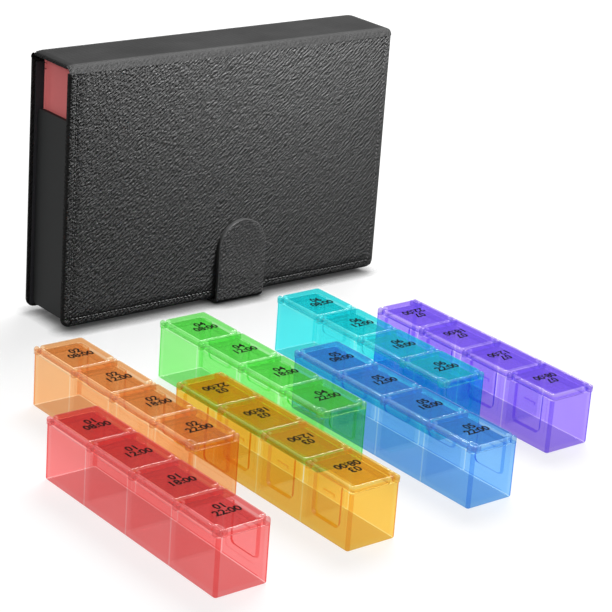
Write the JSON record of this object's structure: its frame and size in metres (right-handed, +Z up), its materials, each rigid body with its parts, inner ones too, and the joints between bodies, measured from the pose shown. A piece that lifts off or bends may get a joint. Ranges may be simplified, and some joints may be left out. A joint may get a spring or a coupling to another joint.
{
  "type": "weekly pill organizer",
  "caption": "Weekly pill organizer: long tinted day boxes with hinged cell lids, set out before a black leather book case with a tray, folding cover and magnetic tab.",
  "frame": {"origin": "middle of the whole set's footprint, on the table", "axes": "+X along the case's width, +Y from the front row of boxes towards the case, +Z up"},
  "size_m": [0.2624, 0.2678, 0.1211],
  "materials": {
    "red_plastic": "tinted clear gloss",
    "orange_plastic": "tinted clear gloss",
    "yellow_plastic": "tinted clear gloss",
    "green_plastic": "tinted clear gloss",
    "blue_plastic": "tinted clear gloss",
    "cyan_plastic": "tinted clear gloss",
    "purple_plastic": "tinted clear gloss",
    "black_leather": "pebbled satin",
    "grey_board": "pressed paper board",
    "lining": "soft matt",
    "tray_cover": "smooth satin",
    "steel": "plain"
  },
  "bodies": {
    "case": {"front_leather": "black_leather", "front_board": "grey_board", "front_keeper": "steel", "front_lining": "lining", "tray_wall_left": "tray_cover", "tray_wall_right": "tray_cover", "tray_wall_bottom": "tray_cover"},
    "spine": {"spine_leather": "black_leather", "spine_board": "grey_board", "spine_lining": "lining", "front_fold": "black_leather", "rear_fold": "black_leather"},
    "cover": {"cover_leather": "black_leather", "cover_board": "grey_board", "cover_lining": "lining", "tab_anchor": "black_leather", "tab_strap": "black_leather"},
    "tab": {"tab_tip": "black_leather", "tab_backing": "black_leather", "tab_magnet": "steel"},
    "red_day": {"red_box": "red_plastic"},
    "red_lid_1": {"red_lid_1": "red_plastic"},
    "red_lid_2": {"red_lid_2": "red_plastic"},
    "red_lid_3": {"red_lid_3": "red_plastic"},
    "red_lid_4": {"red_lid_4": "red_plastic"},
    "orange_day": {"orange_box": "orange_plastic"},
    "orange_lid_1": {"orange_lid_1": "orange_plastic"},
    "orange_lid_2": {"orange_lid_2": "orange_plastic"},
    "orange_lid_3": {"orange_lid_3": "orange_plastic"},
    "orange_lid_4": {"orange_lid_4": "orange_plastic"},
    "yellow_day": {"yellow_box": "yellow_plastic"},
    "yellow_lid_1": {"yellow_lid_1": "yellow_plastic"},
    "yellow_lid_2": {"yellow_lid_2": "yellow_plastic"},
    "yellow_lid_3": {"yellow_lid_3": "yellow_plastic"},
    "yellow_lid_4": {"yellow_lid_4": "yellow_plastic"},
    "green_day": {"green_box": "green_plastic"},
    "green_lid_1": {"green_lid_1": "green_plastic"},
    "green_lid_2": {"green_lid_2": "green_plastic"},
    "green_lid_3": {"green_lid_3": "green_plastic"},
    "green_lid_4": {"green_lid_4": "green_plastic"},
    "blue_day": {"blue_box": "blue_plastic"},
    "blue_lid_1": {"blue_lid_1": "blue_plastic"},
    "blue_lid_2": {"blue_lid_2": "blue_plastic"},
    "blue_lid_3": {"blue_lid_3": "blue_plastic"},
    "blue_lid_4": {"blue_lid_4": "blue_plastic"},
    "cyan_day": {"cyan_box": "cyan_plastic"},
    "cyan_lid_1": {"cyan_lid_1": "cyan_plastic"},
    "cyan_lid_2": {"cyan_lid_2": "cyan_plastic"},
    "cyan_lid_3": {"cyan_lid_3": "cyan_plastic"},
    "cyan_lid_4": {"cyan_lid_4": "cyan_plastic"},
    "purple_day": {"purple_box": "purple_plastic"},
    "purple_lid_1": {"purple_lid_1": "purple_plastic"},
    "purple_lid_2": {"purple_lid_2": "purple_plastic"},
    "purple_lid_3": {"purple_lid_3": "purple_plastic"},
    "purple_lid_4": {"purple_lid_4": "purple_plastic"},
    "stowed_day": {"stowed_box": "red_plastic", "stowed_lids": "red_plastic"}
  },
  "joints": [
    {"name": "spine_fold", "type": "hinge", "parent": "case", "child": "spine", "pos_m": [0, 0.09885, 0.12035], "axis": [1, 0, 0], "range_deg": [0, 90], "deforming": ["front_fold"]},
    {"name": "cover_fold", "type": "hinge", "parent": "spine", "child": "cover", "pos_m": [0, 0.13035, 0.12035], "axis": [1, 0, 0], "range_deg": [0, 90], "deforming": ["rear_fold", "tab_tip", "tab_backing", "tab_magnet"]},
    {"name": "tab_flip", "type": "hinge", "parent": "cover", "child": "tab", "pos_m": [0.0482, 0.09661, 0.00131], "axis": [1, 0, 0], "range_deg": [0, 85]},
    {"name": "red_lift", "type": "slide", "parent": "case", "child": "red_day", "axis": [0, 0, 1], "range_m": [0, 0.03]},
    {"name": "red_lid_1_hinge", "type": "hinge", "parent": "red_day", "child": "red_lid_1", "pos_m": [-0.13005, -0.03765, 0.02465], "axis": [0, -1, 0], "range_deg": [0, 100]},
    {"name": "red_lid_2_hinge", "type": "hinge", "parent": "red_day", "child": "red_lid_2", "pos_m": [-0.13005, -0.06515, 0.02465], "axis": [0, -1, 0], "range_deg": [0, 100]},
    {"name": "red_lid_3_hinge", "type": "hinge", "parent": "red_day", "child": "red_lid_3", "pos_m": [-0.13005, -0.09265, 0.02465], "axis": [0, -1, 0], "range_deg": [0, 100]},
    {"name": "red_lid_4_hinge", "type": "hinge", "parent": "red_day", "child": "red_lid_4", "pos_m": [-0.13005, -0.12015, 0.02465], "axis": [0, -1, 0], "range_deg": [0, 100]},
    {"name": "orange_lift", "type": "slide", "parent": "case", "child": "orange_day", "axis": [0, 0, 1], "range_m": [0, 0.03]},
    {"name": "orange_lid_1_hinge", "type": "hinge", "parent": "orange_day", "child": "orange_lid_1", "pos_m": [-0.09805, 0.02385, 0.02465], "axis": [0, -1, 0], "range_deg": [0, 100]},
    {"name": "orange_lid_2_hinge", "type": "hinge", "parent": "orange_day", "child": "orange_lid_2", "pos_m": [-0.09805, -0.00365, 0.02465], "axis": [0, -1, 0], "range_deg": [0, 100]},
    {"name": "orange_lid_3_hinge", "type": "hinge", "parent": "orange_day", "child": "orange_lid_3", "pos_m": [-0.09805, -0.03115, 0.02465], "axis": [0, -1, 0], "range_deg": [0, 100]},
    {"name": "orange_lid_4_hinge", "type": "hinge", "parent": "orange_day", "child": "orange_lid_4", "pos_m": [-0.09805, -0.05865, 0.02465], "axis": [0, -1, 0], "range_deg": [0, 100]},
    {"name": "yellow_lift", "type": "slide", "parent": "case", "child": "yellow_day", "axis": [0, 0, 1], "range_m": [0, 0.03]},
    {"name": "yellow_lid_1_hinge", "type": "hinge", "parent": "yellow_day", "child": "yellow_lid_1", "pos_m": [-0.04805, -0.11615, 0.02465], "axis": [0, 1, 0], "range_deg": [0, 100]},
    {"name": "yellow_lid_2_hinge", "type": "hinge", "parent": "yellow_day", "child": "yellow_lid_2", "pos_m": [-0.04805, -0.08865, 0.02465], "axis": [0, 1, 0], "range_deg": [0, 100]},
    {"name": "yellow_lid_3_hinge", "type": "hinge", "parent": "yellow_day", "child": "yellow_lid_3", "pos_m": [-0.04805, -0.06115, 0.02465], "axis": [0, 1, 0], "range_deg": [0, 100]},
    {"name": "yellow_lid_4_hinge", "type": "hinge", "parent": "yellow_day", "child": "yellow_lid_4", "pos_m": [-0.04805, -0.03365, 0.02465], "axis": [0, 1, 0], "range_deg": [0, 100]},
    {"name": "green_lift", "type": "slide", "parent": "case", "child": "green_day", "axis": [0, 0, 1], "range_m": [0, 0.03]},
    {"name": "green_lid_1_hinge", "type": "hinge", "parent": "green_day", "child": "green_lid_1", "pos_m": [-0.03655, 0.02385, 0.02465], "axis": [0, -1, 0], "range_deg": [0, 100]},
    {"name": "green_lid_2_hinge", "type": "hinge", "parent": "green_day", "child": "green_lid_2", "pos_m": [-0.03655, -0.00365, 0.02465], "axis": [0, -1, 0], "range_deg": [0, 100]},
    {"name": "green_lid_3_hinge", "type": "hinge", "parent": "green_day", "child": "green_lid_3", "pos_m": [-0.03655, -0.03115, 0.02465], "axis": [0, -1, 0], "range_deg": [0, 100]},
    {"name": "green_lid_4_hinge", "type": "hinge", "parent": "green_day", "child": "green_lid_4", "pos_m": [-0.03655, -0.05865, 0.02465], "axis": [0, -1, 0], "range_deg": [0, 100]},
    {"name": "blue_lift", "type": "slide", "parent": "case", "child": "blue_day", "axis": [0, 0, 1], "range_m": [0, 0.03]},
    {"name": "blue_lid_1_hinge", "type": "hinge", "parent": "blue_day", "child": "blue_lid_1", "pos_m": [-0.00655, -0.02965, 0.02465], "axis": [0, -1, 0], "range_deg": [0, 100]},
    {"name": "blue_lid_2_hinge", "type": "hinge", "parent": "blue_day", "child": "blue_lid_2", "pos_m": [-0.00655, -0.05715, 0.02465], "axis": [0, -1, 0], "range_deg": [0, 100]},
    {"name": "blue_lid_3_hinge", "type": "hinge", "parent": "blue_day", "child": "blue_lid_3", "pos_m": [-0.00655, -0.08465, 0.02465], "axis": [0, -1, 0], "range_deg": [0, 100]},
    {"name": "blue_lid_4_hinge", "type": "hinge", "parent": "blue_day", "child": "blue_lid_4", "pos_m": [-0.00655, -0.11215, 0.02465], "axis": [0, -1, 0], "range_deg": [0, 100]},
    {"name": "cyan_lift", "type": "slide", "parent": "case", "child": "cyan_day", "axis": [0, 0, 1], "range_m": [0, 0.03]},
    {"name": "cyan_lid_1_hinge", "type": "hinge", "parent": "cyan_day", "child": "cyan_lid_1", "pos_m": [0.02545, 0.02385, 0.02465], "axis": [0, -1, 0], "range_deg": [0, 100]},
    {"name": "cyan_lid_2_hinge", "type": "hinge", "parent": "cyan_day", "child": "cyan_lid_2", "pos_m": [0.02545, -0.00365, 0.02465], "axis": [0, -1, 0], "range_deg": [0, 100]},
    {"name": "cyan_lid_3_hinge", "type": "hinge", "parent": "cyan_day", "child": "cyan_lid_3", "pos_m": [0.02545, -0.03115, 0.02465], "axis": [0, -1, 0], "range_deg": [0, 100]},
    {"name": "cyan_lid_4_hinge", "type": "hinge", "parent": "cyan_day", "child": "cyan_lid_4", "pos_m": [0.02545, -0.05865, 0.02465], "axis": [0, -1, 0], "range_deg": [0, 100]},
    {"name": "purple_lift", "type": "slide", "parent": "case", "child": "purple_day", "axis": [0, 0, 1], "range_m": [0, 0.03]},
    {"name": "purple_lid_1_hinge", "type": "hinge", "parent": "purple_day", "child": "purple_lid_1", "pos_m": [0.07645, -0.09015, 0.02465], "axis": [0, 1, 0], "range_deg": [0, 100]},
    {"name": "purple_lid_2_hinge", "type": "hinge", "parent": "purple_day", "child": "purple_lid_2", "pos_m": [0.07645, -0.06265, 0.02465], "axis": [0, 1, 0], "range_deg": [0, 100]},
    {"name": "purple_lid_3_hinge", "type": "hinge", "parent": "purple_day", "child": "purple_lid_3", "pos_m": [0.07645, -0.03515, 0.02465], "axis": [0, 1, 0], "range_deg": [0, 100]},
    {"name": "purple_lid_4_hinge", "type": "hinge", "parent": "purple_day", "child": "purple_lid_4", "pos_m": [0.07645, -0.00765, 0.02465], "axis": [0, 1, 0], "range_deg": [0, 100]},
    {"name": "stowed_slide", "type": "slide", "parent": "case", "child": "stowed_day", "axis": [1, 0, 0], "range_m": [0, 0.144]}
  ]
}
